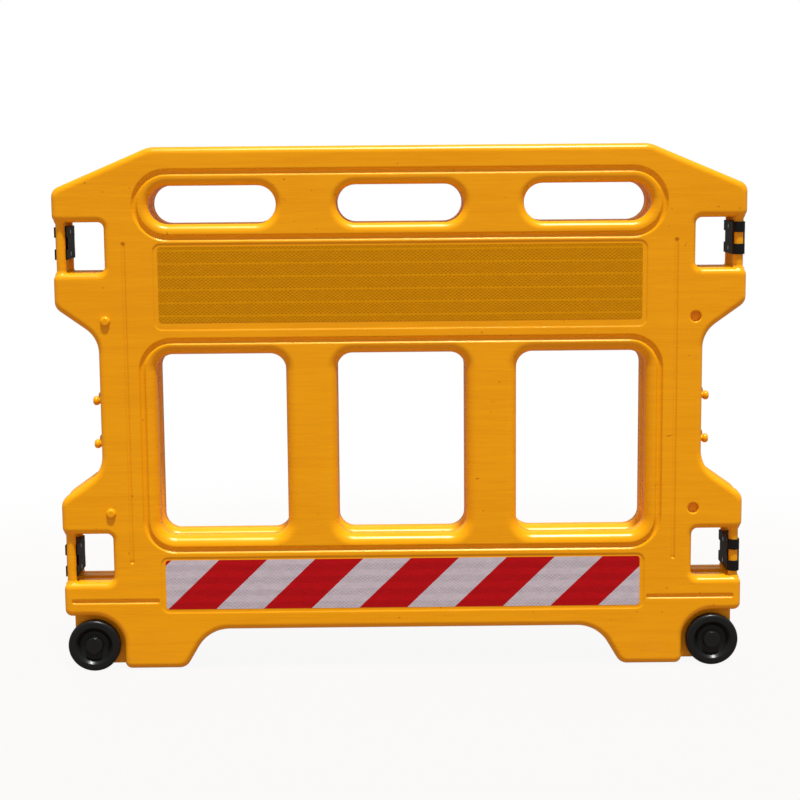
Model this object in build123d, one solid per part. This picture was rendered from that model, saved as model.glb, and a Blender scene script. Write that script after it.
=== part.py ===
from build123d import *
import os

# Folding barrier: two equal moulded panels, folded back to back, with snap links
# on upright posts at both ends and a wheel at each bottom corner.
# Millimetres, +Z up. The origin is on the ground, midway between the panels.

# Panel outline
PANEL_LENGTH = 1300.0
PANEL_HEIGHT = 1000.0  # ground to the top of the rail
PANEL_THICKNESS = 55.0
PANEL_GAP = 7.0  # between the folded panels
EDGE_RADIUS = 12.0  # front and rear edges of the outline
CORNER_MARGIN = 1.0  # the tightest outline corner is this much wider than the edge radius
SHOULDER_RUN = 182.0
SHOULDER_DROP = 77.0
SHOULDER_RADIUS = 45.0
SHOULDER_END_RADIUS = 20.0
WAIST_INSET = 80.0
WAIST_SLOPE = 57.0  # height of the slanted step from an end block to the waist
WAIST_RADIUS = 56.0
WAIST_END_RADIUS = 22.0
UPPER_BLOCK_HEIGHT = 65.0  # end block between the upper notch and the slanted step
LOWER_BLOCK_HEIGHT = 65.0  # end block between the slanted step and the lower notch
BOTTOM_BLOCK_HEIGHT = 65.5  # end block between the lower notch and the wheel well
FOOT_CLEARANCE = 4.0
FOOT_LENGTH = 118.0
FOOT_SLOPE_RUN = 45.0
FOOT_TOE_RADIUS = 22.0  # between the foot and its slope
ARCH_HEIGHT = 80.0  # ground to the underside between the feet
ARCH_RADIUS = 70.0

# End notches and their upright posts
NOTCH_DROP = 137.5  # top of the rail to the ceiling of the upper notch
NOTCH_HEIGHT = 95.0
NOTCH_DEPTH = 96.0
NOTCH_RADIUS = 12.0
POST_DIAMETER = 17.5
POST_INSET = 14.0  # end of the panel to the axis of a post
POST_OFFSET = 11.0  # middle plane of the panel to the axis of a post, towards the front
POST_ROOT = 14.0  # how far a post runs into the blocks above and below it
POST_FLARE = 3.5  # widening of a post where it meets the blocks

# Hand holes, windows and the grooves round them
HAND_HOLE_LENGTH = 238.0
HAND_HOLE_HEIGHT = 72.0
HAND_HOLE_DROP = 107.0  # top of the rail to the middle of the hand holes
HAND_HOLE_SPACING = 113.0  # plain wall between two hand holes
HAND_HOLE_RIM = 15.0
WINDOW_WIDTH = 244.0
WINDOW_SILL = 263.5  # ground to the bottom of the windows
WINDOW_HEAD_DROP = 387.5  # top of the rail to the head of the windows
WINDOW_CORNER = 30.0
WINDOW_RIM = 20.0
MULLION_WIDTH = 96.0
GROOVE_RADIUS = 6.0  # round cutter of the bead grooves
GROOVE_DEPTH = 4.5
HAND_GROOVE_MARGIN = 25.0  # hand holes to the middle of the groove round them
WINDOW_GROOVE_MARGIN = 26.0
RIM_WALL_SHARE = 0.45  # a rim is never rounder than this part of the thickness

# Flat recesses and the films in them
RECESS_DEPTH = 1.0
RECESS_CORNER = 15.0
RECESS_SLOPE = 45.0  # degrees
RECESS_MARGIN = 187.0  # end of the panel to a recess
SIGN_RECESS_DROP = 178.0
SIGN_RECESS_HEIGHT = 163.0
SIGN_FILM_HEIGHT = 142.5
STRIPE_RECESS_BASE = 114.0
STRIPE_RECESS_HEIGHT = 109.5
STRIPE_FILM_HEIGHT = 96.0
FILM_THICKNESS = 0.4
FILM_END_MARGIN = 9.0
FILM_TOP_MARGIN = 6.0
FILM_CORNER = 6.0

# Narrow marks on the end columns
COLUMN_GROOVE_INSET = 132.5
COLUMN_GROOVE_DROP = 179.0
COLUMN_GROOVE_BASE = 215.0
COLUMN_GROOVE_RADIUS = 3.5
COLUMN_GROOVE_DEPTH = 2.0
COLUMN_DOT_RADIUS = 4.0
BLOCK_SLOT_RADIUS = 4.5
BLOCK_SLOT_DEPTH = 3.0
BLOCK_SLOT_INSET = 19.0
BLOCK_SLOT_LENGTH = 160.0
BLOCK_SLOT_RISE = 29.5  # above the underside of the bottom block

# Nesting studs and sockets, side pegs
STUD_DIAMETER = 17.5
STUD_INSET = 95.0
STUD_DROP = 323.0  # top of the rail to the upper studs
STUD_BASE = 310.0  # ground to the lower studs
STUD_HEIGHT = 5.0  # above the front face
STUD_DOME = 3.0
SOCKET_CLEARANCE = 1.5
SOCKET_FLOOR_CLEARANCE = 5.0
SOCKET_LIP = 1.5  # rounding of its mouth
PEG_HEIGHTS = (441.0, 524.0)
PEG_STEM_DIAMETER = 12.0
PEG_HEAD_DIAMETER = 17.6
PEG_HEAD_LENGTH = 12.0
PEG_HEAD_EDGE = 5.5
PEG_REACH = 16.0  # waist to the end of the head

# Wheels
WHEEL_DIAMETER = 100.0
WHEEL_WIDTH = 20.0
WHEEL_INSET = 54.0  # end of the panel to the axle
WHEEL_SETBACK = 1.0  # front of the panel to the face of the wheel
WHEEL_EDGE = 4.5
WHEEL_RIM_DEPTH = 15.0  # tread to the dish
WHEEL_DISH_RUN = 9.5
WHEEL_DISH_EDGE = 2.0  # rounding of the corners of the dish
WHEEL_DISC_THICKNESS = 6.0
WHEEL_REAR_DISH = 6.5
WELL_CLEARANCE = 8.5
WEB_THICKNESS = 15.0
WEB_INSET = 16.0  # end of the panel to the edge of the web
WEB_CLEARANCE = 11.0  # ground to the web
WEB_CORNER = 12.0
WEB_ROOT = 16.0  # how far the web runs into the foot and the block
AXLE_DIAMETER = 10.0
AXLE_FIT = 0.05
AXLE_HEAD_DIAMETER = 22.0
AXLE_HEAD_HEIGHT = 4.0
AXLE_HEAD_EDGE = 1.5
WASHER_DIAMETER = 26.0
WASHER_THICKNESS = 2.0
AXIAL_PLAY = 0.3
HUB_DIAMETER = 34.0
CAP_DIAMETER = 32.0
CAP_THICKNESS = 5.0
CAP_EDGE = 2.0
CAP_BORE_DEPTH = 3.0

# Snap links
LINK_BAND_HEIGHT = 19.5
LINK_WINDOW_HEIGHT = 22.0  # between the two bands of a link
LINK_WALL = 2.8
LINK_PLATE_MARGIN = 12.0  # end of the plates between the bands to the axis of the next post
RING_CLEARANCE = 0.1  # round the post that carries the link
JAW_CLEARANCE = 0.5  # round the post that the link snaps on
JAW_REACH = 1.5  # jaws past the axis of that post
UPPER_LINK_RISE = 8.0  # links sit this much above the middle of the upper notch
LOWER_LINK_SINK = 6.0  # and this much below the middle of the lower notch
SCREW_DIAMETER = 4.0
SCREW_FIT = 0.05
SCREW_HEAD_DIAMETER = 8.0
SCREW_HEAD_HEIGHT = 3.0
SCREW_BITE = 8.0  # thread length in the outer half

# Places that follow from the sizes above
END = PANEL_LENGTH / 2
FACE = PANEL_THICKNESS / 2
PITCH = PANEL_THICKNESS + PANEL_GAP
POST_SPACING = PITCH + 2 * POST_OFFSET  # between the posts that a link joins
TIGHT_CORNER = EDGE_RADIUS + CORNER_MARGIN
WHEEL_RADIUS = WHEEL_DIAMETER / 2
WHEEL_X = END - WHEEL_INSET
WELL_RADIUS = WHEEL_RADIUS + WELL_CLEARANCE
WELL_TOP = WHEEL_RADIUS + WELL_RADIUS
FOOT_OUTER = WHEEL_X - WELL_RADIUS
FOOT_INNER = FOOT_OUTER - FOOT_LENGTH
WAIST_X = END - WAIST_INSET
NOTCH_X = END - NOTCH_DEPTH
POST_X = END - POST_INSET
UPPER_NOTCH = (PANEL_HEIGHT - NOTCH_DROP - NOTCH_HEIGHT, PANEL_HEIGHT - NOTCH_DROP)
LOWER_NOTCH = (WELL_TOP + BOTTOM_BLOCK_HEIGHT, WELL_TOP + BOTTOM_BLOCK_HEIGHT + NOTCH_HEIGHT)
UPPER_STEP = UPPER_NOTCH[0] - UPPER_BLOCK_HEIGHT
LOWER_STEP = LOWER_NOTCH[1] + LOWER_BLOCK_HEIGHT
STUD_X = END - STUD_INSET
STUD_HEIGHTS = (STUD_BASE, PANEL_HEIGHT - STUD_DROP)
SIDES = (-1, 1)

# Wheel stack, from the web of the well to the hub cap at the front
WHEEL_FRONT_Y = WHEEL_SETBACK - FACE
WHEEL_REAR_Y = WHEEL_FRONT_Y + WHEEL_WIDTH
WASHER_FRONT_Y = WHEEL_REAR_Y + AXIAL_PLAY
WEB_FRONT_Y = WASHER_FRONT_Y + WASHER_THICKNESS
WEB_REAR_Y = WEB_FRONT_Y + WEB_THICKNESS
CAP_REAR_Y = WHEEL_FRONT_Y + CAP_THICKNESS
HUB_FRONT_Y = CAP_REAR_Y + AXIAL_PLAY
AXLE_TIP_Y = CAP_REAR_Y - CAP_BORE_DEPTH

# Link sections
RING_RADIUS = POST_DIAMETER / 2 + RING_CLEARANCE + LINK_WALL
LINK_HEIGHT = 2 * LINK_BAND_HEIGHT + LINK_WINDOW_HEIGHT


def half_outline():
    """Right half of the panel outline, from the rail down to the arch: x, z and corner radius."""
    return [
        (END - SHOULDER_RUN, PANEL_HEIGHT, SHOULDER_RADIUS),
        (END, PANEL_HEIGHT - SHOULDER_DROP, SHOULDER_END_RADIUS),
        (END, UPPER_NOTCH[1], TIGHT_CORNER),
        (NOTCH_X, UPPER_NOTCH[1], NOTCH_RADIUS),
        (NOTCH_X, UPPER_NOTCH[0], NOTCH_RADIUS),
        (END, UPPER_NOTCH[0], TIGHT_CORNER),
        (END, UPPER_STEP, WAIST_END_RADIUS),
        (WAIST_X, UPPER_STEP - WAIST_SLOPE, WAIST_RADIUS),
        (WAIST_X, LOWER_STEP + WAIST_SLOPE, WAIST_RADIUS),
        (END, LOWER_STEP, WAIST_END_RADIUS),
        (END, LOWER_NOTCH[1], TIGHT_CORNER),
        (NOTCH_X, LOWER_NOTCH[1], NOTCH_RADIUS),
        (NOTCH_X, LOWER_NOTCH[0], NOTCH_RADIUS),
        (END, LOWER_NOTCH[0], TIGHT_CORNER),
        (END, WELL_TOP, TIGHT_CORNER),
        (FOOT_OUTER, WELL_TOP, WELL_RADIUS),
        (FOOT_OUTER, FOOT_CLEARANCE, TIGHT_CORNER),
        (FOOT_INNER, FOOT_CLEARANCE, FOOT_TOE_RADIUS),
        (FOOT_INNER - FOOT_SLOPE_RUN, ARCH_HEIGHT, ARCH_RADIUS),
    ]


def upright_plane(y, z=0.0):
    """Drawing plane that faces the front: x to the right, y up."""
    return Plane((0, y, z), x_dir=(1, 0, 0), z_dir=(0, -1, 0))


def closed_face(corners):
    """Flat face through corners given as x, y and corner radius."""
    line = FilletPolyline([c[:2] for c in corners], radius=[c[2] for c in corners], close=True)
    return make_face(line)


def panel_outline():
    right = half_outline()
    left = [(-x, z, r) for x, z, r in reversed(right)]
    return closed_face(right + left)


def hand_hole_profiles():
    step = HAND_HOLE_LENGTH + HAND_HOLE_SPACING
    z = PANEL_HEIGHT - HAND_HOLE_DROP
    return [Pos(i * step, z) * SlotOverall(HAND_HOLE_LENGTH, HAND_HOLE_HEIGHT) for i in (-1, 0, 1)]


def window_span():
    """Bottom and top of the windows."""
    return WINDOW_SILL, PANEL_HEIGHT - WINDOW_HEAD_DROP


def window_profiles():
    low, high = window_span()
    step = WINDOW_WIDTH + MULLION_WIDTH
    pane = RectangleRounded(WINDOW_WIDTH, high - low, WINDOW_CORNER)
    return [Pos(i * step, (low + high) / 2) * pane for i in (-1, 0, 1)]


def flat_faces(body):
    """Front and rear faces of a panel."""
    ordered = body.faces().sort_by(Axis.Y)
    return ordered[0], ordered[-1]


def round_outline(body):
    edges = [e for f in flat_faces(body) for e in f.outer_wire().edges()]
    return fillet(edges, EDGE_RADIUS)


def round_rims(body, radius, low, high):
    """Round the rims of the through holes whose middle lies between two heights."""
    wires = [w for f in flat_faces(body) for w in f.inner_wires()]
    chosen = [w for w in wires if low < w.bounding_box().center().Z < high]
    edges = [e for w in chosen for e in w.edges()]
    return fillet(edges, min(radius, RIM_WALL_SHARE * PANEL_THICKNESS))


def panel_blank():
    """Outline with hand holes and windows, all edges rounded."""
    profile = panel_outline()
    for hole in hand_hole_profiles() + window_profiles():
        profile -= hole
    body = extrude(upright_plane(0) * profile, amount=FACE, both=True)
    body = round_outline(body)
    head = window_span()[1]
    body = round_rims(body, HAND_HOLE_RIM, head, PANEL_HEIGHT)
    return round_rims(body, WINDOW_RIM, 0, head)


def post(x, notch):
    """Upright post across a notch, flared where it meets the blocks."""
    low, high = notch
    radius = POST_DIAMETER / 2
    shaft = Cylinder(radius, high - low + 2 * POST_ROOT)
    flare = Cone(radius + POST_FLARE, radius, 2 * POST_FLARE)
    ends = [
        Pos(0, 0, (low - high) / 2) * flare,
        Pos(0, 0, (high - low) / 2) * Rot(180, 0, 0) * flare,
    ]
    return Pos(x, -POST_OFFSET, (low + high) / 2) * (shaft + ends)


def wheel_web(side):
    """Wall behind a wheel, from the foot to the bottom block."""
    corners = [
        (FOOT_OUTER - WEB_ROOT, WELL_TOP + WEB_ROOT, 0),
        (END - WEB_INSET, WELL_TOP + WEB_ROOT, 0),
        (END - WEB_INSET, WEB_CLEARANCE, WEB_CORNER),
        (FOOT_OUTER - WEB_ROOT, WEB_CLEARANCE, 0),
    ]
    profile = closed_face([(side * x, z, r) for x, z, r in corners])
    web = extrude(upright_plane(WEB_REAR_Y) * profile, amount=WEB_THICKNESS)
    bore = axle_rod(AXLE_DIAMETER / 2 + AXLE_FIT, WEB_FRONT_Y - FACE, WEB_REAR_Y + FACE, side)
    return web - bore


def axle_rod(radius, y_from, y_to, side):
    """Cylinder along the wheel axis of one side."""
    rod = Cylinder(radius, y_to - y_from)
    return Pos(side * WHEEL_X, (y_from + y_to) / 2, WHEEL_RADIUS) * Rot(90, 0, 0) * rod


def bead_groove(profile):
    """Round-bottomed groove along the edge of a flat profile, cut into the front face."""
    path = (upright_plane(GROOVE_DEPTH - GROOVE_RADIUS - FACE) * profile).wire()
    section = Plane(path @ 0, z_dir=path % 0) * Circle(GROOVE_RADIUS)
    return sweep(section, path=path)


def hand_groove():
    step = HAND_HOLE_LENGTH + HAND_HOLE_SPACING
    length = 2 * step + HAND_HOLE_LENGTH + 2 * HAND_GROOVE_MARGIN
    height = HAND_HOLE_HEIGHT + 2 * HAND_GROOVE_MARGIN
    return bead_groove(Pos(0, PANEL_HEIGHT - HAND_HOLE_DROP) * SlotOverall(length, height))


def window_groove():
    low, high = window_span()
    length = 3 * WINDOW_WIDTH + 2 * MULLION_WIDTH + 2 * WINDOW_GROOVE_MARGIN
    height = high - low + 2 * WINDOW_GROOVE_MARGIN
    corner = WINDOW_CORNER + WINDOW_GROOVE_MARGIN
    return bead_groove(Pos(0, (low + high) / 2) * RectangleRounded(length, height, corner))


def flat_recess(low, height):
    """Shallow recess with sloped edges, in the front face."""
    rim = RectangleRounded(2 * (END - RECESS_MARGIN), height, RECESS_CORNER)
    sketch = upright_plane(-FACE, low + height / 2) * rim
    return extrude(sketch, amount=-RECESS_DEPTH, taper=RECESS_SLOPE)


def straight_groove(start, end, radius, depth, end_radius):
    """Round-bottomed groove between two points of the front face, with ball-shaped ends."""
    rise = radius - depth
    a = Vector(start[0], -FACE - rise, start[1])
    b = Vector(end[0], -FACE - rise, end[1])
    trough = Solid.make_cylinder(radius, (b - a).length, Plane(a, z_dir=b - a))
    balls = [Pos(*p) * Sphere(end_radius) for p in (a, b)]
    return Part() + trough + balls


def column_groove(side):
    x = side * (END - COLUMN_GROOVE_INSET)
    top = (x, PANEL_HEIGHT - COLUMN_GROOVE_DROP)
    base = (x, COLUMN_GROOVE_BASE)
    return straight_groove(base, top, COLUMN_GROOVE_RADIUS, COLUMN_GROOVE_DEPTH, COLUMN_DOT_RADIUS)


def block_slot(side):
    z = WELL_TOP + BLOCK_SLOT_RISE
    outer = (side * (END - BLOCK_SLOT_INSET), z)
    inner = (side * (END - BLOCK_SLOT_INSET - BLOCK_SLOT_LENGTH), z)
    return straight_groove(inner, outer, BLOCK_SLOT_RADIUS, BLOCK_SLOT_DEPTH, BLOCK_SLOT_RADIUS)


def front_relief():
    """Everything cut into the front face; the rear face has the same."""
    low_sign = PANEL_HEIGHT - SIGN_RECESS_DROP - SIGN_RECESS_HEIGHT
    cuts = [
        hand_groove(),
        window_groove(),
        flat_recess(low_sign, SIGN_RECESS_HEIGHT),
        flat_recess(STRIPE_RECESS_BASE, STRIPE_RECESS_HEIGHT),
    ]
    for side in SIDES:
        cuts += [column_groove(side), block_slot(side)]
    return cuts


def stud(z):
    """Nesting stud at the left of the front face."""
    rod = Cylinder(STUD_DIAMETER / 2, 2 * STUD_HEIGHT)
    rod = fillet(rod.edges().filter_by(GeomType.CIRCLE), STUD_DOME)
    return Pos(-STUD_X, -FACE, z) * Rot(90, 0, 0) * rod


def socket(z):
    """Blind hole at the right of the front face, for a stud of a panel folded in front.

    The cutter is turned from a half section whose mouth widens along a quarter circle.
    """
    depth = STUD_HEIGHT + SOCKET_FLOOR_CLEARANCE
    radius = STUD_DIAMETER / 2 + SOCKET_CLEARANCE
    mouth = radius + SOCKET_LIP
    wall = [(radius, -SOCKET_LIP), (radius, -depth), (0, -depth)]
    line = Polyline(wall + [(0, SOCKET_LIP), (mouth, SOCKET_LIP), (mouth, 0)])
    lip = CenterArc((mouth, -SOCKET_LIP), SOCKET_LIP, 90, 90)
    hole = revolve(Plane.XZ * make_face(line + lip), Axis.Z)
    return Pos(STUD_X, -FACE, z) * Rot(90, 0, 0) * hole


def peg(side, z):
    """Round-headed peg on a waist side."""
    head = Cylinder(PEG_HEAD_DIAMETER / 2, PEG_HEAD_LENGTH)
    head = fillet(head.edges().filter_by(GeomType.CIRCLE), PEG_HEAD_EDGE)
    head_x = WAIST_X + PEG_REACH - PEG_HEAD_LENGTH / 2
    stem = Cylinder(PEG_STEM_DIAMETER / 2, 2 * PEG_REACH - PEG_HEAD_LENGTH)
    turn = Rot(0, 90, 0)
    return Pos(side * WAIST_X, 0, z) * turn * stem + Pos(side * head_x, 0, z) * turn * head


def panel_body():
    """One moulded panel, front towards -Y, middle plane at y = 0."""
    body = panel_blank()
    for side in SIDES:
        body += post(side * POST_X, UPPER_NOTCH)
        body += post(side * POST_X, LOWER_NOTCH)
        body += wheel_web(side)
        body += [peg(side, z) for z in PEG_HEIGHTS]
    for cut in front_relief():
        body -= cut
        body -= mirror(cut, about=Plane.XZ)
    for z in STUD_HEIGHTS:
        body += stud(z)
        body -= socket(z)
    return body


def film(recess_top, height):
    """Thin film on the floor of a recess of the front face."""
    length = 2 * (END - RECESS_MARGIN - FILM_END_MARGIN)
    rim = RectangleRounded(length, height, FILM_CORNER)
    z = recess_top - FILM_TOP_MARGIN - height / 2
    return extrude(upright_plane(RECESS_DEPTH - FACE, z) * rim, amount=FILM_THICKNESS)


def sign_film():
    return film(PANEL_HEIGHT - SIGN_RECESS_DROP, SIGN_FILM_HEIGHT)


def stripe_film():
    return film(STRIPE_RECESS_BASE + STRIPE_RECESS_HEIGHT, STRIPE_FILM_HEIGHT)


def axle_pin(side):
    """Pin with a flat head behind the web; its tip sits in the hub cap."""
    head = axle_rod(AXLE_HEAD_DIAMETER / 2, WEB_REAR_Y, WEB_REAR_Y + AXLE_HEAD_HEIGHT, side)
    rim = head.edges().filter_by(GeomType.CIRCLE).sort_by(Axis.Y)[-1]
    return fillet(rim, AXLE_HEAD_EDGE) + axle_rod(AXLE_DIAMETER / 2, AXLE_TIP_Y, WEB_REAR_Y, side)


def washer(side):
    ring = axle_rod(WASHER_DIAMETER / 2, WASHER_FRONT_Y, WEB_FRONT_Y, side)
    return ring - axle_rod(AXLE_DIAMETER / 2 + AXLE_FIT, WASHER_FRONT_Y, WEB_FRONT_Y, side)


def wheel_profile():
    """Half section of the dished wheel: radius, distance along the axle, corner radius."""
    rim = WHEEL_RADIUS - WHEEL_RIM_DEPTH
    dish = rim - WHEEL_DISH_RUN
    hub = HUB_DIAMETER / 2
    rear_face = WHEEL_REAR_Y - WHEEL_REAR_DISH
    front_face = rear_face - WHEEL_DISC_THICKNESS
    bore = AXLE_DIAMETER / 2 + AXLE_FIT
    soft = WHEEL_DISH_EDGE
    return [
        (bore, WHEEL_REAR_Y, 0),
        (hub, WHEEL_REAR_Y, 0),
        (hub, rear_face, soft),
        (dish, rear_face, soft),
        (rim, WHEEL_REAR_Y, soft),
        (WHEEL_RADIUS, WHEEL_REAR_Y, WHEEL_EDGE),
        (WHEEL_RADIUS, WHEEL_FRONT_Y, WHEEL_EDGE),
        (rim, WHEEL_FRONT_Y, soft),
        (dish, front_face, soft),
        (hub, front_face, soft),
        (hub, HUB_FRONT_Y, 0),
        (bore, HUB_FRONT_Y, 0),
    ]


def wheel(side):
    """One-piece dished wheel, turned about the axle."""
    section = closed_face(wheel_profile())
    return Pos(side * WHEEL_X, 0, WHEEL_RADIUS) * revolve(section, Axis.Y)


def hub_cap(side):
    """Round cap with a blind bore, pressed on the tip of the pin."""
    cap = axle_rod(CAP_DIAMETER / 2, WHEEL_FRONT_Y, CAP_REAR_Y, side)
    rim = cap.edges().filter_by(GeomType.CIRCLE).sort_by(Axis.Y)[0]
    bore = axle_rod(AXLE_DIAMETER / 2 + AXLE_FIT, AXLE_TIP_Y, CAP_REAR_Y, side)
    return fillet(rim, CAP_EDGE) - bore


def link_band():
    """Plan of one band: closed ring at the carrying post, open jaws at the next post."""
    width = 2 * RING_RADIUS
    reach = POST_SPACING + JAW_REACH
    bar = Pos(0, reach / 2) * Rectangle(width, reach)
    mouth = POST_DIAMETER / 2 + JAW_CLEARANCE
    plan = Circle(RING_RADIUS) + bar
    plan -= Circle(POST_DIAMETER / 2 + RING_CLEARANCE)
    plan -= Pos(0, POST_SPACING) * Circle(mouth)
    return plan - Pos(0, reach) * Rectangle(2 * mouth, 2 * JAW_REACH)


def screw_levels():
    """Heights of the two screws of a link, from its middle."""
    level = (LINK_WINDOW_HEIGHT + LINK_BAND_HEIGHT) / 2
    return -level, level


def link_rod(radius, x_from, x_to, z):
    """Cylinder along a link screw, midway between the posts."""
    rod = Cylinder(radius, x_to - x_from)
    return Pos((x_from + x_to) / 2, POST_SPACING / 2, z) * Rot(0, 90, 0) * rod


def link_screw(z):
    """Flat-headed screw from the inner face into the outer half; inner is -X."""
    head = link_rod(SCREW_HEAD_DIAMETER / 2, -RING_RADIUS, SCREW_HEAD_HEIGHT - RING_RADIUS, z)
    return head + link_rod(SCREW_DIAMETER / 2, SCREW_HEAD_HEIGHT - RING_RADIUS, SCREW_BITE, z)


def screw_seat(z):
    """Room for a link screw, with its fit."""
    head_end = SCREW_HEAD_HEIGHT - RING_RADIUS
    head = link_rod(SCREW_HEAD_DIAMETER / 2 + SCREW_FIT, -RING_RADIUS, head_end, z)
    return head + link_rod(SCREW_DIAMETER / 2 + SCREW_FIT, head_end, SCREW_BITE, z)


def link_half(side):
    """Half of a link on one side of the plane through both post axes."""
    level = screw_levels()[1]
    band = extrude(link_band(), amount=LINK_BAND_HEIGHT / 2, both=True)
    run = POST_SPACING - LINK_PLATE_MARGIN
    plate = Box(LINK_WALL, run, LINK_WINDOW_HEIGHT)
    body = Pos(0, 0, level) * band + Pos(0, 0, -level) * band
    body += Pos(side * (RING_RADIUS - LINK_WALL / 2), run / 2, 0) * plate
    room = Box(RING_RADIUS, 2 * POST_SPACING, LINK_HEIGHT)
    keep = Pos(side * RING_RADIUS / 2, POST_SPACING / 2, 0) * room
    body = body & keep
    for z in screw_levels():
        body -= screw_seat(z)
    return body


def place(shape, panel):
    """Move a piece from its panel's own frame to the folded pair."""
    turn = 0 if panel == "front" else 180
    return Rot(0, 0, turn) * Pos(0, -PITCH / 2, 0) * shape


def link_height(level):
    """Middle of the links in the upper or the lower notch."""
    if level == "upper":
        return sum(UPPER_NOTCH) / 2 + UPPER_LINK_RISE
    return sum(LOWER_NOTCH) / 2 - LOWER_LINK_SINK


def panel_nodes(panel):
    """Body, films and wheels of one panel, named by their place in the folded pair."""
    nodes = {
        f"{panel}_panel_body": panel_body(),
        f"{panel}_sign_film": sign_film(),
        f"{panel}_stripe_film": stripe_film(),
    }
    for side in SIDES:
        world_side = side if panel == "front" else -side
        corner = f"{panel}_{'left' if world_side < 0 else 'right'}"
        nodes[f"{corner}_axle_pin"] = axle_pin(side)
        nodes[f"{corner}_washer"] = washer(side)
        nodes[f"{corner}_wheel"] = wheel(side)
        nodes[f"{corner}_hub_cap"] = hub_cap(side)
    return {name: place(shape, panel) for name, shape in nodes.items()}


def link_nodes(end):
    """Upper and lower link of one end, on the right-hand posts of the panel that carries them."""
    panel = "front" if end == "right" else "rear"
    nodes = {}
    screws = []
    for level in ("upper", "lower"):
        spot = Pos(POST_X, -POST_OFFSET, link_height(level))
        nodes[f"{level}_{end}_link_inner"] = spot * link_half(-1)
        nodes[f"{level}_{end}_link_outer"] = spot * link_half(1)
        screws += [spot * link_screw(z) for z in screw_levels()]
    nodes[f"{end}_link_screws"] = Part() + screws
    return {name: place(shape, panel) for name, shape in nodes.items()}


def all_nodes():
    nodes = {}
    for panel in ("front", "rear"):
        nodes.update(panel_nodes(panel))
    for end in ("right", "left"):
        nodes.update(link_nodes(end))
    return nodes


os.makedirs("parts", exist_ok=True)
for node, shape in all_nodes().items():
    export_step(shape, f"parts/{node}.step")
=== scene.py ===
"""Looks of a folding road barrier: two moulded panels folded back to back, their films,
wheels and snap links. Everything is in metres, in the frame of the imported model."""

import math

import bpy
import numpy as np
from mathutils import Matrix, Vector


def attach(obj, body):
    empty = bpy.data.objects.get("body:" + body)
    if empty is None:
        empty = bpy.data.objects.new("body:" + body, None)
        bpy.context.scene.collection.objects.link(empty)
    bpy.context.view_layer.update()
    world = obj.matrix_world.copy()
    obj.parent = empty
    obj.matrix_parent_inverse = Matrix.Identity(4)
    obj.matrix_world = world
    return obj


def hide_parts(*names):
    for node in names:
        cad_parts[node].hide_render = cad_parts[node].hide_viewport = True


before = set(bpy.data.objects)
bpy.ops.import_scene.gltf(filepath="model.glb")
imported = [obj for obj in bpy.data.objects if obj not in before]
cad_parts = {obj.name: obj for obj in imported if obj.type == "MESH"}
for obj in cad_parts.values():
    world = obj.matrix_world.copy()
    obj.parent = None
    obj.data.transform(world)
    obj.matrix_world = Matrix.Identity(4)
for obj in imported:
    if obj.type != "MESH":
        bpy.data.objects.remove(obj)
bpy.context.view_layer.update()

# Places on the moulding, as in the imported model
END = 0.650
TOP = 1.000
FOOT_Z = 0.004
HALF_PITCH = 0.031  # middle plane of a panel to the middle of the folded pair
FACE = 0.0275  # middle plane of a panel to its front
HOLE_COLUMNS = (-1, 0, 1)
HAND_HOLE_SIZE = (0.238, 0.072)
HAND_HOLE_STEP = 0.351
HAND_HOLE_Z = 0.893
HAND_HOLE_ROUND = 0.9999  # radius of the ends as a share of half the height
WINDOW_SIZE = (0.244, 0.349)
WINDOW_STEP = 0.340
WINDOW_Z = 0.438
WINDOW_CORNER = 0.030
NOTCH_X = 0.554
NOTCH_CORNER = 0.012
BLOCK_CORNER = 0.013
WAIST_X = 0.570
WAIST_CORNER = 0.056
STEP_CORNER = 0.022
WELL_X = 0.5375
# Right half of the outline, from the rail down to the arch: x, z and corner radius
HALF_OUTLINE = (
    (0.468, TOP, 0.045),
    (END, 0.923, 0.020),
    (END, 0.8625, BLOCK_CORNER),
    (NOTCH_X, 0.8625, NOTCH_CORNER),
    (NOTCH_X, 0.7675, NOTCH_CORNER),
    (END, 0.7675, BLOCK_CORNER),
    (END, 0.7025, STEP_CORNER),
    (WAIST_X, 0.6455, WAIST_CORNER),
    (WAIST_X, 0.391, WAIST_CORNER),
    (END, 0.334, STEP_CORNER),
    (END, 0.269, BLOCK_CORNER),
    (NOTCH_X, 0.269, NOTCH_CORNER),
    (NOTCH_X, 0.174, NOTCH_CORNER),
    (END, 0.174, BLOCK_CORNER),
    (END, 0.1085, BLOCK_CORNER),
    (WELL_X, 0.1085, 0.0585),
    (WELL_X, FOOT_Z, 0.013),
    (0.4195, FOOT_Z, 0.022),
    (0.3745, 0.080, 0.070),
)
SEAM_HEIGHT = 0.0006
SEAM_HALF_WIDTH = 0.0011

# Wheels
WHEEL_X = 0.596
WHEEL_RADIUS = 0.050
WHEEL_HUB = 0.0170
WHEEL_BORE = 0.00505
WHEEL_FRONT = 0.0010
WHEEL_BACK = 0.0210
# Half section of a wheel: radius, distance behind the front of the panel, corner radius
WHEEL_SECTION = (
    (WHEEL_BORE, WHEEL_BACK, 0.0003),
    (WHEEL_HUB, WHEEL_BACK, 0.0003),
    (WHEEL_HUB, 0.0145, 0.0020),
    (0.0255, 0.0145, 0.0020),
    (0.0350, WHEEL_BACK, 0.0020),
    (WHEEL_RADIUS, WHEEL_BACK, 0.0045),
    (WHEEL_RADIUS, WHEEL_FRONT, 0.0065),
    (0.0365, WHEEL_FRONT, 0.0020),
    (0.0272, 0.0110, 0.0040),
    (WHEEL_HUB, 0.0110, 0.0015),
    (WHEEL_HUB, 0.0063, 0.0006),
    (WHEEL_BORE, 0.0063, 0.0003),
)
TREAD = (0.0475, 0.0499)  # radii between which the rubbing of the tread sets in
RING_PITCH = 0.0007
RING_HEIGHT = 0.000002

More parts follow.
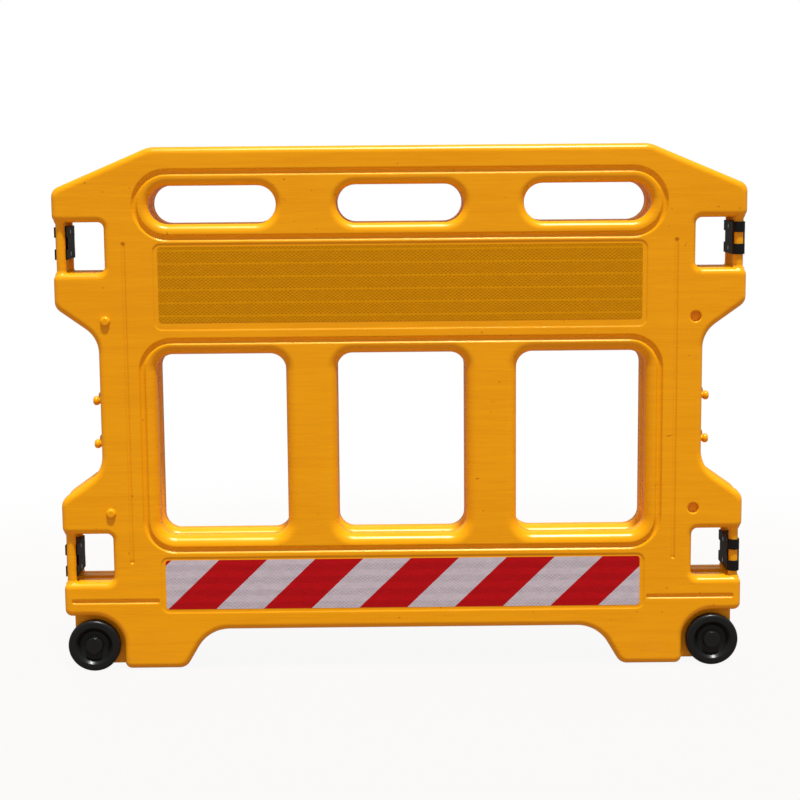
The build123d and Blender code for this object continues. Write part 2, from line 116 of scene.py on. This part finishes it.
# Steps of the meshes: along a rounded corner, round a seam and round a wheel
ARC_STEPS = 9
SEAM_STEPS = 10
WHEEL_STEPS = 96

# Skin of the moulding: scales of noise per metre, along x, y and z where it is drawn out
STREAK_DRAW = (2.2, 9.0, 42.0)
LINE_DRAW = (14.0, 40.0, 300.0)
WAVE_SCALE = 5.5
PEBBLE_SCALE = 380.0
PIT_SCALE = 95.0
STREAK_HEIGHT = 0.00022
LINE_HEIGHT = 0.00003
WAVE_HEIGHT = 0.0011
PEBBLE_HEIGHT = 0.00003
PIT_DEPTH = 0.00015
PANEL_EDGE = 0.004  # radius over which edges look rolled
WHEEL_EDGE = 0.002
LINK_EDGE = 0.0012

# Handling marks and dust
SCRATCH_DRAWS = ((14.0, 60.0, 130.0), (120.0, 70.0, 18.0))
SCRATCH_WIDTH = 0.012  # in values of the noise
SCRATCH_DEPTH = 0.00004
SCRATCH_PATCH_SCALE = 9.0
DUST_SCALE = 34.0
DUST_REACH = (0.005, 0.11)  # heights between which ground dust fades out
LEDGE_DUST = 0.45  # dust on ledges, as a share of that near the ground

# Grain of the other finishes
WHEEL_GRAIN_SCALE = 260.0
WHEEL_GRAIN_HEIGHT = 0.00004
LINK_GRAIN_SCALE = 900.0
LINK_GRAIN_HEIGHT = 0.00006
LINK_CLOUD_SCALE = 60.0
ZINC_CLOUD_SCALE = 150.0
ZINC_BRUSH_DRAW = (900.0, 120.0, 900.0)
ZINC_BRUSH_HEIGHT = 0.00002

# Films: stripes and cells, measured along the front of a panel
STRIPE_PERIOD = 0.1835
STRIPE_SHARE = 0.503  # part of a period that is red
STRIPE_SLANT = 1.036  # run of a stripe along x for its rise
STRIPE_START = -0.4511  # left edge of the first red stripe at the foot of the film
STRIPE_FOOT = 0.1215
STRIPE_BAND_SHIFT = (0, 0, 0.0063)  # the bands of cells lie lower on the striped film
STRIPE_CELL_DARK = 0.24  # how much the walls of its cells darken it
CELL_WIDTH = 0.0081
CELL_HEIGHT = 0.00605
CELL_DEPTH = 0.00012
CELL_BAND = 0.0245  # height of a band of cells between two plain lines
PLAIN_LINE = (0.0009, 0.0024)  # distances from a plain line over which it fades
BAND_MIDDLE = (0.0035, 0.0085)  # distances from a plain line over which the middle sets in
MOTTLE_DRAW = (80.0, 80.0, 240.0)
FILM_WAVE_SCALE = 14.0
FILM_WAVE_HEIGHT = 0.0005

# Colours as linear red, green and blue
YELLOW = (0.975, 0.438, 0.0, 1)
YELLOW_DEEP = (0.905, 0.392, 0.0, 1)
# Painted shade: the yellow darkened inside the pits, as if they were in shadow
YELLOW_PIT_SHADE = (0.60, 0.22, 0.0, 1)
YELLOW_PALE = (0.83, 0.42, 0.02, 1)
YELLOW_GLOSS = (1.0, 0.88, 0.5, 1)
BLACK = (0.0094, 0.0104, 0.0110, 1)
BLACK_RUBBED = (0.020, 0.020, 0.0195, 1)
SIGN_YELLOW = (0.485, 0.206, 0.0, 1)
SIGN_WALL = (0.70, 0.32, 0.0, 1)
FILM_WHITE = (0.575, 0.568, 0.685, 1)
FILM_RED = (0.488, 0.0048, 0.0100, 1)
ZINC = (0.58, 0.58, 0.60, 1)
ZINC_DULL = (0.42, 0.42, 0.43, 1)
DUST = (0.30, 0.24, 0.17, 1)

# The photograph's view, with its angles in degrees
VIEW_SENSOR = 36.0
VIEW_LENS = 78.73
VIEW_PLACE = (-0.0277, -3.3345, 0.9769)
VIEW_PITCH = 7.88
VIEW_ROLL = 0.485
VIEW_YAW = 0.434

# Light: lamps have an azimuth, elevation and spread in degrees
HIGH_SUN = {"azimuth": 15, "elevation": 74, "strength": 3.9, "spread": 5, "tint": (1.0, 1.0, 1.0)}
BACK_FILL = {"azimuth": 190, "elevation": 28, "strength": 1.1, "spread": 40, "tint": (1.0, 0.97, 0.94)}
WORLD_TINT = (1.0, 0.87, 0.77, 1)
WORLD_STRENGTH = 0.50
GLOSS_WHITE = 0.25  # how much of the white background gloss shows
FLOOR_SIZE = 60.0
FLOOR_BOUNCE = (0.30, 0.19, 0.13, 1)
FLOOR_WHITE = 0.93  # share of plain white where the floor is seen near the barrier
FLOOR_FADE = (0.9, 2.2)  # distances over which the floor turns quite white

VECTOR = "NodeSocketVector"
FLOAT = "NodeSocketFloat"


def feed(tree, socket, value):
    """Link an output into a socket, or give the socket a plain value."""
    if isinstance(value, bpy.types.NodeSocket):
        tree.links.new(value, socket)
    else:
        socket.default_value = value


def maths(tree, operation, *values):
    """Result of a Math node."""
    made = tree.nodes.new("ShaderNodeMath")
    made.operation = operation
    for socket, value in zip(made.inputs, values):
        feed(tree, socket, value)
    return made.outputs[0]


def product(tree, *values):
    """All values multiplied."""
    result = values[0]
    for value in values[1:]:
        result = maths(tree, "MULTIPLY", result, value)
    return result


def weighted_sum(tree, start, *terms):
    """Start plus each value times its weight."""
    total = start
    for value, weight in terms:
        total = maths(tree, "MULTIPLY_ADD", value, weight, total)
    return total


def vector_maths(tree, operation, *values):
    """Result of a Vector Math node."""
    made = tree.nodes.new("ShaderNodeVectorMath")
    made.operation = operation
    for socket, value in zip(made.inputs, values):
        feed(tree, socket, value)
    return made.outputs["Value" if operation == "LENGTH" else "Vector"]


def scaled_colour(tree, colour, factor):
    """Colour with its parts multiplied by a factor."""
    made = tree.nodes.new("ShaderNodeVectorMath")
    made.operation = "SCALE"
    feed(tree, made.inputs[0], colour)
    feed(tree, made.inputs["Scale"], factor)
    return made.outputs["Vector"]


def ramp(tree, value, low, high, start=0.0, end=1.0):
    """Smooth step of a value between low and high, from start to end."""
    made = tree.nodes.new("ShaderNodeMapRange")
    made.interpolation_type = "SMOOTHSTEP"
    for socket, given in zip(made.inputs, (value, low, high, start, end)):
        feed(tree, socket, given)
    return made.outputs[0]


def mix_colour(tree, share, first, second):
    """First colour, with a share of the second in its place."""
    made = tree.nodes.new("ShaderNodeMix")
    made.data_type = "RGBA"
    # Sockets 6 and 7 are the colours, and output 2 the mixed colour
    feed(tree, made.inputs[0], share)
    feed(tree, made.inputs[6], first)
    feed(tree, made.inputs[7], second)
    return made.outputs[2]


def noise(tree, place, scale, detail=2.0, roughness=0.5):
    """Noise from 0 to 1 about a middle of one half."""
    made = tree.nodes.new("ShaderNodeTexNoise")
    feed(tree, made.inputs["Vector"], place)
    feed(tree, made.inputs["Scale"], scale)
    feed(tree, made.inputs["Detail"], detail)
    feed(tree, made.inputs["Roughness"], roughness)
    return made.outputs[0]


def drawn_noise(tree, place, draw, detail=2.0, roughness=0.5):
    """Noise drawn out unevenly: draw is its scale along x, y and z."""
    return noise(tree, vector_maths(tree, "MULTIPLY", place, draw), 1.0, detail, roughness)


def split(tree, place):
    """The x, y and z of a vector."""
    made = tree.nodes.new("ShaderNodeSeparateXYZ")
    feed(tree, made.inputs[0], place)
    return made.outputs


def new_group(name, inputs, outputs):
    """Empty node group with named sockets; gives the group, its inputs and its outputs."""
    group = bpy.data.node_groups.new(name, "ShaderNodeTree")
    for label, kind in inputs.items():
        group.interface.new_socket(label, in_out="INPUT", socket_type=kind)
    for label in outputs:
        group.interface.new_socket(label, in_out="OUTPUT", socket_type=FLOAT)
    given = group.nodes.new("NodeGroupInput").outputs
    result = group.nodes.new("NodeGroupOutput").inputs
    return group, given, result


def use_group(tree, group, **values):
    """Outputs of a group placed in a material with its own values."""
    made = tree.nodes.new("ShaderNodeGroup")
    made.node_tree = group
    for label, value in values.items():
        feed(tree, made.inputs[label], value)
    return made.outputs


def flow_marks_group():
    """Skin of a moulding: coarse streaks and fine lines from noise drawn out along the panel,
    broad waves from slow noise, a fine pebble, and pits where a noise is highest. Shade, Gloss
    and Pits run from 0 to 1, Height is in metres."""
    outputs = ("Shade", "Gloss", "Pits", "Height")
    group, given, result = new_group("flow_marks", {"Vector": VECTOR}, outputs)
    place = given["Vector"]
    streaks = drawn_noise(group, place, STREAK_DRAW, detail=3.0, roughness=0.62)
    lines = drawn_noise(group, place, LINE_DRAW, roughness=0.6)
    waves = noise(group, place, WAVE_SCALE)
    pebble = noise(group, place, PEBBLE_SCALE, detail=1.0)
    pits = ramp(group, noise(group, place, PIT_SCALE, detail=1.0), 0.76, 0.82)
    broad = weighted_sum(group, 0.0, (streaks, 0.65), (waves, 0.35))
    toned = weighted_sum(group, 0.0, (broad, 0.6), (lines, 0.4))
    dulled = weighted_sum(group, broad, (pebble, 0.1))
    relief = (
        (waves, WAVE_HEIGHT),
        (streaks, STREAK_HEIGHT),
        (pebble, PEBBLE_HEIGHT),
        (lines, LINE_HEIGHT),
        (pits, -PIT_DEPTH),
    )
    feed(group, result["Shade"], ramp(group, toned, 0.38, 0.62))
    feed(group, result["Gloss"], ramp(group, dulled, 0.40, 0.72))
    feed(group, result["Pits"], pits)
    feed(group, result["Height"], weighted_sum(group, 0.0, *relief))
    return group


def scratches_group():
    """Handling marks: the thin lines where drawn-out noise crosses its middle value, kept only
    where a second, slower noise is high. Mask runs from 0 to Amount."""
    inputs = {"Vector": VECTOR, "Amount": FLOAT}
    group, given, result = new_group("scratches", inputs, ("Mask",))
    place = given["Vector"]
    lines = []
    for draw in SCRATCH_DRAWS:
        off = maths(group, "SUBTRACT", drawn_noise(group, place, draw), 0.5)
        off = maths(group, "ABSOLUTE", off)
        lines.append(ramp(group, off, 0.0, SCRATCH_WIDTH, 1.0, 0.0))
    either = maths(group, "MAXIMUM", *lines)
    patches = ramp(group, noise(group, place, SCRATCH_PATCH_SCALE, detail=3.0), 0.54, 0.70)
    feed(group, result["Mask"], product(group, either, patches, given["Amount"]))
    return group


def dust_group():
    """Dust: thickest on faces that look up and near the ground, broken up by noise. Up is the
    upward part of the surface's normal. Mask runs from 0 to Amount."""
    inputs = {"Vector": VECTOR, "Up": FLOAT, "Amount": FLOAT}
    group, given, result = new_group("dust", inputs, ("Mask",))
    place = given["Vector"]
    ledge = ramp(group, given["Up"], 0.35, 0.95)
    low = ramp(group, split(group, place)["Z"], *DUST_REACH, 1.0, 0.0)
    where = maths(group, "MAXIMUM", product(group, ledge, LEDGE_DUST), low)
    grain = noise(group, place, DUST_SCALE, detail=5.0, roughness=0.7)
    grain = ramp(group, grain, 0.38, 0.72)
    feed(group, result["Mask"], product(group, where, grain, given["Amount"]))
    return group


def film_cells_group():
    """Cells of reflective film: a diamond lattice. Two slanted counts, x over width plus or minus
    z over height, are whole numbers on the walls of the cells; the smaller distance to a whole
    number gives the wall. Band is 1 on the plain lines between two bands of cells, Middle is 1
    along the middle of a band and Mottle is a fine noise drawn out along the film."""
    outputs = ("Wall", "Band", "Middle", "Mottle", "Height")
    group, given, result = new_group("film_cells", {"Vector": VECTOR}, outputs)
    x, _, z = split(group, given["Vector"])
    across = maths(group, "DIVIDE", x, CELL_WIDTH)
    up = maths(group, "DIVIDE", z, CELL_HEIGHT)
    edges = []
    for operation in ("ADD", "SUBTRACT"):
        count = maths(group, operation, across, up)
        edges.append(maths(group, "PINGPONG", count, 0.5))
    inside = maths(group, "MINIMUM", *edges)
    from_line = maths(group, "PINGPONG", z, CELL_BAND / 2)
    mottle = drawn_noise(group, given["Vector"], MOTTLE_DRAW, detail=3.0, roughness=0.6)
    feed(group, result["Wall"], ramp(group, inside, 0.03, 0.24, 1.0, 0.0))
    feed(group, result["Band"], ramp(group, from_line, *PLAIN_LINE, 1.0, 0.0))
    feed(group, result["Middle"], ramp(group, from_line, *BAND_MIDDLE))
    feed(group, result["Mottle"], mottle)
    feed(group, result["Height"], product(group, ramp(group, inside, 0.0, 0.3), CELL_DEPTH))
    return group


FLOW_MARKS = flow_marks_group()
SCRATCHES = scratches_group()
DUST_LAYER = dust_group()
FILM_CELLS = film_cells_group()


def new_material(name):
    """Material with one Principled shader; gives the material, its tree and the shader."""
    material = bpy.data.materials.new(name)
    material.use_nodes = True
    tree = material.node_tree
    tree.nodes.clear()
    shader = tree.nodes.new("ShaderNodeBsdfPrincipled")
    target = tree.nodes.new("ShaderNodeOutputMaterial")
    tree.links.new(shader.outputs[0], target.inputs["Surface"])
    return material, tree, shader


def object_place(tree):
    """Place of a point in the rest frame of its piece, and the upward part of its normal."""
    made = tree.nodes.new("ShaderNodeTexCoord")
    return made.outputs["Object"], split(tree, made.outputs["Normal"])["Z"]


def front_place(tree):
    """Place as the panel's own front sees it: x and y are turned on the rear panel."""
    place, _ = object_place(tree)
    x, y, z = split(tree, place)
    made = tree.nodes.new("ShaderNodeCombineXYZ")
    side = maths(tree, "MULTIPLY", maths(tree, "SIGN", y), -1.0)
    feed(tree, made.inputs["X"], maths(tree, "MULTIPLY", x, side))
    feed(tree, made.inputs["Y"], maths(tree, "MULTIPLY", y, side))
    feed(tree, made.inputs["Z"], z)
    return made.outputs[0]


def soft_edges(tree, radius):
    """Normal that rolls over every edge, as on a moulding, within a radius of it."""
    made = tree.nodes.new("ShaderNodeBevel")
    made.samples = 8
    made.inputs["Radius"].default_value = radius
    return made.outputs[0]


def bump(tree, shader, height, normal=None):
    """Bump of a height in metres, on a given normal or on the surface's own."""
    made = tree.nodes.new("ShaderNodeBump")
    made.inputs["Distance"].default_value = 1.0
    feed(tree, made.inputs["Height"], height)
    if normal:
        tree.links.new(normal, made.inputs["Normal"])
    tree.links.new(made.outputs[0], shader.inputs["Normal"])


def panel_plastic():
    """Yellow moulded plastic with flow streaks, pits darkened with painted shade, a wavy skin,
    handling marks and dust.
    """
    material, tree, shader = new_material("panel_yellow")
    place, up = object_place(tree)
    skin = use_group(tree, FLOW_MARKS, Vector=place)
    marks = use_group(tree, SCRATCHES, Vector=place, Amount=0.35)["Mask"]
    dust = use_group(tree, DUST_LAYER, Vector=place, Up=up, Amount=0.05)["Mask"]
    colour = mix_colour(tree, skin["Shade"], YELLOW_DEEP, YELLOW)
    # Painted shade in the pits: the yellow darkens where the skin is dented
    colour = mix_colour(tree, skin["Pits"], colour, YELLOW_PIT_SHADE)
    colour = mix_colour(tree, marks, colour, YELLOW_PALE)
    colour = mix_colour(tree, dust, colour, DUST)
    rough = weighted_sum(tree, 0.25, (skin["Gloss"], 0.10), (dust, 0.4), (marks, 0.15))
    height = weighted_sum(tree, skin["Height"], (marks, -SCRATCH_DEPTH))
    feed(tree, shader.inputs["Base Color"], colour)
    feed(tree, shader.inputs["Roughness"], rough)
    shader.inputs["Specular IOR Level"].default_value = 0.65
    shader.inputs["Specular Tint"].default_value = YELLOW_GLOSS
    bump(tree, shader, height, soft_edges(tree, PANEL_EDGE))
    return material


def wheel_plastic():
    """Black wheel plastic: fine turned rings about the axle, grain, scratches and a rubbed
    tread. The distance from the axle is the root of x from the wheel's middle squared plus z
    from the axle squared."""
    material, tree, shader = new_material("wheel_black")
    place, _ = object_place(tree)
    x, _, z = split(tree, place)
    aside = maths(tree, "SUBTRACT", maths(tree, "ABSOLUTE", x), WHEEL_X)
    above = maths(tree, "SUBTRACT", z, WHEEL_RADIUS)
    squares = maths(tree, "MULTIPLY_ADD", aside, aside, product(tree, above, above))
    radius = maths(tree, "SQRT", squares)
    grain = noise(tree, place, WHEEL_GRAIN_SCALE, detail=3.0, roughness=0.6)
    marks = use_group(tree, SCRATCHES, Vector=place, Amount=0.5)["Mask"]
    tread = product(tree, ramp(tree, radius, *TREAD), ramp(tree, grain, 0.35, 0.7), 0.6)
    worn = maths(tree, "MAXIMUM", marks, tread)
    rings = maths(tree, "SINE", product(tree, radius, 2 * math.pi / RING_PITCH))
    rough = weighted_sum(tree, 0.25, (grain, 0.12), (worn, 0.35))
    height = weighted_sum(tree, 0.0, (grain, WHEEL_GRAIN_HEIGHT), (rings, RING_HEIGHT))
    feed(tree, shader.inputs["Base Color"], mix_colour(tree, worn, BLACK, BLACK_RUBBED))
    feed(tree, shader.inputs["Roughness"], rough)
    shader.inputs["Specular IOR Level"].default_value = 0.3
    bump(tree, shader, height, soft_edges(tree, WHEEL_EDGE))
    return material


def link_plastic():
    """Black moulded link plastic with a fine eroded grain, rubbed spots and dust."""
    material, tree, shader = new_material("link_black")
    place, up = object_place(tree)
    grain = noise(tree, place, LINK_GRAIN_SCALE, detail=3.0, roughness=0.6)
    clouds = noise(tree, place, LINK_CLOUD_SCALE)
    marks = use_group(tree, SCRATCHES, Vector=place, Amount=0.6)["Mask"]
    dust = use_group(tree, DUST_LAYER, Vector=place, Up=up, Amount=0.2)["Mask"]
    colour = mix_colour(tree, marks, BLACK, BLACK_RUBBED)
    colour = mix_colour(tree, dust, colour, DUST)
    feed(tree, shader.inputs["Base Color"], colour)
    feed(tree, shader.inputs["Roughness"], weighted_sum(tree, 0.42, (clouds, 0.2)))
    shader.inputs["Specular IOR Level"].default_value = 0.15
    bump(tree, shader, product(tree, grain, LINK_GRAIN_HEIGHT), soft_edges(tree, LINK_EDGE))
    return material


def film_surface(tree, shader, place, colour, cells):
    """Clear face over the cells, slightly wavy where it is stuck down."""
    waves = noise(tree, place, FILM_WAVE_SCALE)
    feed(tree, shader.inputs["Base Color"], colour)
    feed(tree, shader.inputs["Roughness"], weighted_sum(tree, 0.30, (waves, 0.14)))
    shader.inputs["Specular IOR Level"].default_value = 0.12
    bump(tree, shader, weighted_sum(tree, cells["Height"], (waves, FILM_WAVE_HEIGHT)))


def sign_film():
    """Bare yellow reflective film, paler on the walls of its cells and on the plain lines."""
    material, tree, shader = new_material("sign_film")
    place = front_place(tree)
    cells = use_group(tree, FILM_CELLS, Vector=place)
    pattern = maths(tree, "MAXIMUM", cells["Wall"], cells["Band"])
    colour = mix_colour(tree, pattern, SIGN_YELLOW, SIGN_WALL)
    colour = scaled_colour(tree, colour, weighted_sum(tree, 0.85, (cells["Mottle"], 0.3)))
    film_surface(tree, shader, place, colour, cells)
    return material


def stripe_film():
    """Reflective film with slanted red and white stripes: red where x less the slant times the
    height over the film's foot, counted in stripe periods, is in the first part of a period.
    It is darker on the walls of its cells along the middle of each band."""
    material, tree, shader = new_material("stripe_film")
    place = front_place(tree)
    cells = use_group(tree, FILM_CELLS, Vector=vector_maths(tree, "ADD", place, STRIPE_BAND_SHIFT))
    x, _, z = split(tree, place)
    slanted = weighted_sum(tree, x, (z, -STRIPE_SLANT))
    start = STRIPE_START - STRIPE_SLANT * STRIPE_FOOT
    count = maths(tree, "DIVIDE", maths(tree, "SUBTRACT", slanted, start), STRIPE_PERIOD)
    red = maths(tree, "LESS_THAN", maths(tree, "FRACT", count), STRIPE_SHARE)
    walls = product(tree, cells["Wall"], cells["Middle"])
    shade = weighted_sum(tree, 0.8, (cells["Mottle"], 0.4), (walls, -STRIPE_CELL_DARK))
    colour = scaled_colour(tree, mix_colour(tree, red, FILM_WHITE, FILM_RED), shade)
    film_surface(tree, shader, place, colour, cells)
    return material


def zinc_steel():
    """Zinc-plated steel with a cloudy, slightly brushed skin."""
    material, tree, shader = new_material("zinc_steel")
    place, _ = object_place(tree)
    clouds = noise(tree, place, ZINC_CLOUD_SCALE, detail=4.0, roughness=0.6)
    brushed = drawn_noise(tree, place, ZINC_BRUSH_DRAW)
    feed(tree, shader.inputs["Base Color"], mix_colour(tree, clouds, ZINC, ZINC_DULL))
    feed(tree, shader.inputs["Roughness"], weighted_sum(tree, 0.22, (clouds, 0.25)))
    shader.inputs["Metallic"].default_value = 1.0
    bump(tree, shader, product(tree, brushed, ZINC_BRUSH_HEIGHT))
    return material


def dress(material, *names):
    """Give CAD nodes a material."""
    for name in names:
        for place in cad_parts[name].material_slots:
            place.material = material


def add_piece(name, body, points, faces, material):
    """New mesh object at the origin, riding on a body."""
    mesh = bpy.data.meshes.new(name)
    mesh.from_pydata(points.tolist(), [], faces.tolist())
    mesh.polygons.foreach_set("use_smooth", np.ones(len(mesh.polygons), bool))
    mesh.materials.append(material)
    mesh.update()
    piece = bpy.data.objects.new(name, mesh)
    bpy.context.scene.collection.objects.link(piece)
    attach(piece, body)
    return piece


def grid_mesh(points):
    """Points and faces of a grid that closes on itself both ways."""
    rows, columns = points.shape[:2]
    index = np.arange(rows * columns).reshape(rows, columns)
    right = np.roll(index, -1, axis=1)
    below = np.roll(index, -1, axis=0)
    corner = np.roll(below, -1, axis=1)
    faces = np.stack([index, below, corner, right], axis=-1).reshape(-1, 4)
    return points.reshape(-1, 3), faces


def rounded_path(corners):
    """Closed outline with rounded corners. Each corner becomes an arc: its centre lies on the
    bisector at radius over sine of half the corner angle, and its points turn evenly from the
    foot on one side to the foot on the other."""
    data = np.array(corners, float)
    point = data[:, :2]
    radius = data[:, 2:]
    before = np.roll(point, 1, axis=0) - point
    after = np.roll(point, -1, axis=0) - point
    before /= np.linalg.norm(before, axis=1, keepdims=True)
    after /= np.linalg.norm(after, axis=1, keepdims=True)
    half = np.arccos(np.clip((before * after).sum(1, keepdims=True), -1, 1)) / 2
    bisector = before + after
    bisector /= np.linalg.norm(bisector, axis=1, keepdims=True)
    centre = point + bisector * radius / np.sin(half)
    start = point + before * radius / np.tan(half) - centre
    end = point + after * radius / np.tan(half) - centre
    turn = (math.pi - 2 * half)[:, None, :]
    share = np.linspace(0, 1, ARC_STEPS)[None, :, None]
    arc = np.sin((1 - share) * turn) * start[:, None] + np.sin(share * turn) * end[:, None]
    return (centre[:, None] + arc / np.sin(turn)).reshape(-1, 2)


def rounded_rectangle(centre, size, radius):
    """Corners of a rectangle with their radius: its centre plus or minus half its size."""
    signs = np.array([(1, 1), (1, -1), (-1, -1), (-1, 1)])
    corners = np.array(centre) + signs * np.array(size) / 2
    return np.column_stack([corners, np.full(len(corners), radius)])


def seam_tube(path, y):
    """Fine raised line along a closed path at depth y. Its section is an ellipse, high across
    the wall and wide along y, carried along the path's normal."""
    along = np.roll(path, -1, axis=0) - np.roll(path, 1, axis=0)
    along /= np.linalg.norm(along, axis=1, keepdims=True)
    normal = np.stack([along[:, 1], -along[:, 0]], axis=1)
    angle = np.linspace(0, 2 * math.pi, SEAM_STEPS, endpoint=False)
    lift = SEAM_HEIGHT * np.cos(angle)[None, :, None] * normal[:, None]
    flat = path[:, None] + lift
    depth = np.broadcast_to(y - SEAM_HALF_WIDTH * np.sin(angle), flat.shape[:2])
    return np.stack([flat[..., 0], depth, flat[..., 1]], axis=-1)


def parting_seam(name, body, y, material):
    """Parting line of a panel, round its outline and every hole, at the panel's middle plane.
    The left half of the outline is the right half backwards, with x turned."""
    right = np.array(HALF_OUTLINE)
    loops = [np.concatenate([right, right[::-1] * (-1, 1, 1)])]
    hand_hole_end = min(HAND_HOLE_SIZE) / 2 * HAND_HOLE_ROUND
    for i in HOLE_COLUMNS:
        hand_hole = (i * HAND_HOLE_STEP, HAND_HOLE_Z)
        window = (i * WINDOW_STEP, WINDOW_Z)
        loops.append(rounded_rectangle(hand_hole, HAND_HOLE_SIZE, hand_hole_end))
        loops.append(rounded_rectangle(window, WINDOW_SIZE, WINDOW_CORNER))
    points = []
    faces = []
    count = 0
    for loop in loops:
        some, quads = grid_mesh(seam_tube(rounded_path(loop), y))
        points.append(some)
        faces.append(quads + count)
        count += len(some)
    seam = add_piece(name, body, np.concatenate(points), np.concatenate(faces), material)


def turned_wheel(name, node, x, way, material):
    """Dished wheel: its half section turned about the axle, which runs along y at the height of
    the wheel's radius. A point of the section at radius r goes to x + r cos and z + r sin. The
    wheel rides on the body that has its node's name."""
    radius, depth = rounded_path(WHEEL_SECTION).T
    angle = np.linspace(0, 2 * math.pi, WHEEL_STEPS, endpoint=False)[:, None] * -way
    across = x + radius * np.cos(angle)
    up = WHEEL_RADIUS + radius * np.sin(angle)
    along = np.broadcast_to(way * (HALF_PITCH + FACE - depth), across.shape)
    points, faces = grid_mesh(np.stack([across, along, up], axis=-1))
    wheel = add_piece(name, node, points, faces, material)
    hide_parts(node)


def dress_barrier():
    """Materials for all nodes, and the seams and wheels of both panels."""
    yellow = panel_plastic()
    wheels = wheel_plastic()
    links = link_plastic()
    zinc = zinc_steel()
    sign = sign_film()
    stripes = stripe_film()
    for panel, side in (("front", -1), ("rear", 1)):
        dress(yellow, f"{panel}_panel_body")
        dress(sign, f"{panel}_sign_film")
        dress(stripes, f"{panel}_stripe_film")
        parting_seam(f"{panel}_parting_seam", f"{panel}_panel", side * HALF_PITCH, yellow)
        for end, hand in (("left", -1), ("right", 1)):
            corner = f"{panel}_{end}"
            turned_wheel(f"{corner}_dished_wheel", f"{corner}_wheel", hand * WHEEL_X, side, wheels)
            dress(wheels, f"{corner}_hub_cap")
            dress(zinc, f"{corner}_axle_pin", f"{corner}_washer")
    for end in ("right", "left"):
        dress(zinc, f"{end}_link_screws")
        for level in ("upper", "lower"):
            dress(links, f"{level}_{end}_link_inner", f"{level}_{end}_link_outer")


def photo_camera():
    """Camera at the photograph's place, tipped down, with a slight yaw and roll."""
    data = bpy.data.cameras.new("view")
    data.sensor_width = VIEW_SENSOR
    data.lens = VIEW_LENS
    camera = bpy.data.objects.new("view", data)
    turn = Matrix.Rotation(math.radians(-VIEW_YAW), 4, "Z")
    turn @= Matrix.Rotation(math.radians(-VIEW_PITCH), 4, "X")
    turn @= Matrix.Rotation(math.radians(VIEW_ROLL), 4, "Y")
    turn @= Matrix.Rotation(math.radians(90), 4, "X")
    camera.matrix_world = Matrix.Translation(VIEW_PLACE) @ turn
    bpy.context.scene.collection.objects.link(camera)
    bpy.context.scene.camera = camera


def sun(name, azimuth, elevation, strength, spread, tint):
    """Distant lamp; azimuth 0 is the front, 90 the right."""
    a = math.radians(azimuth)
    e = math.radians(elevation)
    towards = Vector((math.sin(a) * math.cos(e), -math.cos(a) * math.cos(e), math.sin(e)))
    data = bpy.data.lights.new(name, "SUN")
    data.energy = strength
    data.color = tint
    data.angle = math.radians(spread)
    lamp = bpy.data.objects.new(name, data)
    lamp.rotation_mode = "QUATERNION"
    lamp.rotation_quaternion = (-towards).to_track_quat("-Z", "Y")
    bpy.context.scene.collection.objects.link(lamp)
    return lamp


def seen_directly(tree):
    """Share and strength of the white background: both are 1 for rays from the camera and through
    glass. Rays from gloss see it dimmed, and other rays don't see it."""
    rays = tree.nodes.new("ShaderNodeLightPath").outputs
    straight = maths(tree, "MAXIMUM", rays["Is Camera Ray"], rays["Is Transmission Ray"])
    seen = maths(tree, "MAXIMUM", straight, rays["Is Glossy Ray"])
    strength = maths(tree, "MAXIMUM", straight, GLOSS_WHITE)
    return seen, strength


def mix_shaders(tree, share, lit, white, target):
    """Lit shader, with a share of the white one in its place, sent to an output."""
    both = tree.nodes.new("ShaderNodeMixShader")
    tree.links.new(share, both.inputs[0])
    tree.links.new(lit.outputs[0], both.inputs[1])
    tree.links.new(white.outputs[0], both.inputs[2])
    tree.links.new(both.outputs[0], tree.nodes.new(target).inputs["Surface"])


def pale_world():
    """Even light from all round; where it is seen it is white."""
    world = bpy.data.worlds.new("studio")
    world.use_nodes = True
    tree = world.node_tree
    tree.nodes.clear()
    light = tree.nodes.new("ShaderNodeBackground")
    light.inputs["Color"].default_value = WORLD_TINT
    light.inputs["Strength"].default_value = WORLD_STRENGTH
    white = tree.nodes.new("ShaderNodeBackground")
    white.inputs["Color"].default_value = (1, 1, 1, 1)
    seen, strength = seen_directly(tree)
    tree.links.new(strength, white.inputs["Strength"])
    mix_shaders(tree, seen, light, white, "ShaderNodeOutputWorld")
    bpy.context.scene.world = world


def pale_floor():
    """Wide floor, white where it is seen, that keeps a light shadow near the barrier."""
    material = bpy.data.materials.new("floor")
    material.use_nodes = True
    tree = material.node_tree
    tree.nodes.clear()
    lit = tree.nodes.new("ShaderNodeBsdfDiffuse")
    lit.inputs["Color"].default_value = FLOOR_BOUNCE
    white = tree.nodes.new("ShaderNodeEmission")
    place = tree.nodes.new("ShaderNodeTexCoord").outputs["Object"]
    away = ramp(tree, vector_maths(tree, "LENGTH", place), *FLOOR_FADE, FLOOR_WHITE, 1.0)
    seen, strength = seen_directly(tree)
    tree.links.new(strength, white.inputs["Strength"])
    mix_shaders(tree, product(tree, away, seen), lit, white, "ShaderNodeOutputMaterial")
    half = FLOOR_SIZE / 2
    corners = [(-half, -half, 0), (half, -half, 0), (half, half, 0), (-half, half, 0)]
    mesh = bpy.data.meshes.new("floor")
    mesh.from_pydata(corners, [], [(0, 1, 2, 3)])
    mesh.materials.append(material)
    floor = bpy.data.objects.new("floor", mesh)
    bpy.context.scene.collection.objects.link(floor)


dress_barrier()
photo_camera()
pale_floor()
pale_world()
sun("high_sun", **HIGH_SUN)
back_fill = sun("back_fill", **BACK_FILL)
back_fill.visible_glossy = False
bpy.context.scene.view_settings.view_transform = "Standard"
